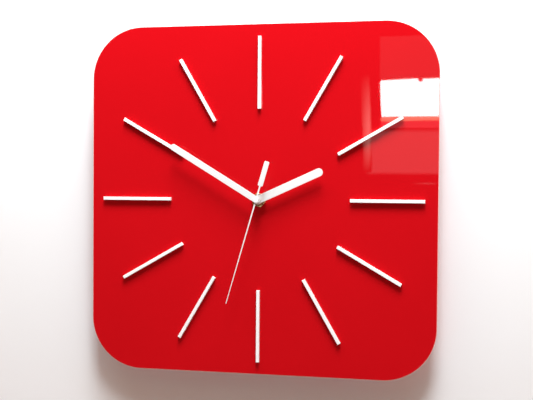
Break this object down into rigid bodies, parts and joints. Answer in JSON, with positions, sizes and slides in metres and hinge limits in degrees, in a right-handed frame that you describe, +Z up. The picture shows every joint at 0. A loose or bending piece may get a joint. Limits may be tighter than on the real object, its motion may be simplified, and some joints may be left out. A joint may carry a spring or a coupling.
{
  "type": "wall clock",
  "caption": "Square acrylic wall clock with raised baton markers and plain hands, on a battery quartz movement that hangs from a slotted bracket.",
  "frame": {"origin": "the point on the wall plane where the nail or screw sits in the middle notch of the hanging slot", "axes": "+Y into the wall, square to the dial; +Z up, towards twelve o'clock; +X to the right as the dial is read"},
  "size_m": [0.3, 0.0378, 0.3],
  "materials": {
    "red_acrylic": "polished",
    "white_acrylic": "satin",
    "white_enamel": "satin",
    "brass": "satin",
    "black_rubber": "matte",
    "zinc_plated_steel": "satin",
    "bright_steel": "satin",
    "black_plastic": "satin",
    "natural_plastic": "satin",
    "ferrite": "matte",
    "copper_wire": "satin",
    "board": "satin",
    "chip_resin": "satin",
    "battery_wrap": "gloss"
  },
  "bodies": {
    "movement": {"face_panel": "red_acrylic", "hour_marker_01": "white_acrylic", "hour_marker_02": "white_acrylic", "hour_marker_03": "white_acrylic", "hour_marker_04": "white_acrylic", "hour_marker_05": "white_acrylic", "hour_marker_06": "white_acrylic", "hour_marker_07": "white_acrylic", "hour_marker_08": "white_acrylic", "hour_marker_09": "white_acrylic", "hour_marker_10": "white_acrylic", "hour_marker_11": "white_acrylic", "hour_marker_12": "white_acrylic", "threaded_bush": "brass", "fixing_nut": "brass", "brass_washer": "brass", "rubber_washer": "black_rubber", "hanger_bracket": "zinc_plated_steel", "movement_front_case": "black_plastic", "movement_back_cover": "black_plastic", "train_bridge": "natural_plastic", "stator": "bright_steel", "coil_core": "bright_steel", "coil_bobbin": "natural_plastic", "coil_winding": "copper_wire", "circuit_board": "board", "timing_chip": "chip_resin", "quartz_crystal": "bright_steel", "battery_contact_negative": "bright_steel", "battery_contact_positive": "bright_steel"},
    "rotor": {"rotor_magnet": "ferrite", "rotor_pinion": "natural_plastic"},
    "step_gear": {"step_wheel": "natural_plastic"},
    "second_train": {"second_wheel": "natural_plastic", "second_arbor": "bright_steel", "second_hand": "white_enamel", "second_hand_collet": "white_enamel"},
    "third_gear": {"third_wheel": "natural_plastic"},
    "minute_train": {"centre_wheel": "brass", "clutch_spring": "bright_steel", "minute_pipe": "bright_steel", "minute_hand": "white_enamel"},
    "motion_gear": {"motion_wheel": "natural_plastic"},
    "hour_train": {"hour_wheel": "natural_plastic", "hour_hand": "white_enamel"},
    "setting_knob": {"set_knob": "black_plastic", "set_gear": "natural_plastic"},
    "battery": {"battery_cell": "battery_wrap", "battery_cap": "bright_steel"}
  },
  "joints": [
    {"name": "second_hand_spin", "type": "hinge", "parent": "movement", "child": "second_train", "pos_m": [0, 0, -0.0443], "axis": [0, 1, 0], "continuous": true},
    {"name": "rotor_spin", "type": "hinge", "parent": "movement", "child": "rotor", "pos_m": [0.00583, 0, -0.02954], "axis": [0, 1, 0], "continuous": true},
    {"name": "step_wheel_spin", "type": "hinge", "parent": "movement", "child": "step_gear", "pos_m": [0.00233, 0, -0.03561], "axis": [0, 1, 0], "continuous": true},
    {"name": "third_wheel_spin", "type": "hinge", "parent": "movement", "child": "third_gear", "pos_m": [-0.00998, 0, -0.03854], "axis": [0, 1, 0], "continuous": true},
    {"name": "minute_hand_spin", "type": "hinge", "parent": "movement", "child": "minute_train", "pos_m": [0, 0, -0.0443], "axis": [0, 1, 0], "continuous": true},
    {"name": "motion_wheel_spin", "type": "hinge", "parent": "movement", "child": "motion_gear", "pos_m": [0.0094, 0, -0.04088], "axis": [0, 1, 0], "continuous": true},
    {"name": "hour_hand_spin", "type": "hinge", "parent": "movement", "child": "hour_train", "pos_m": [0, 0, -0.0443], "axis": [0, 1, 0], "continuous": true},
    {"name": "set_knob_spin", "type": "hinge", "parent": "movement", "child": "setting_knob", "pos_m": [0.01959, 0, -0.04563], "axis": [0, 1, 0], "continuous": true},
    {"name": "battery_slide", "type": "slide", "parent": "movement", "child": "battery", "axis": [0, 1, 0], "range_m": [0, 0.03]}
  ],
  "couplings": [
    {"joint": "step_wheel_spin", "follows": "second_hand_spin", "ratio": -5},
    {"joint": "rotor_spin", "follows": "second_hand_spin", "ratio": 30},
    {"joint": "third_wheel_spin", "follows": "second_hand_spin", "ratio": -0.13333},
    {"joint": "minute_hand_spin", "follows": "second_hand_spin", "ratio": 0.016667},
    {"joint": "motion_wheel_spin", "follows": "second_hand_spin", "ratio": -0.0055556},
    {"joint": "hour_hand_spin", "follows": "second_hand_spin", "ratio": 0.0013889},
    {"joint": "set_knob_spin", "follows": "second_hand_spin", "ratio": 0.011111}
  ]
}
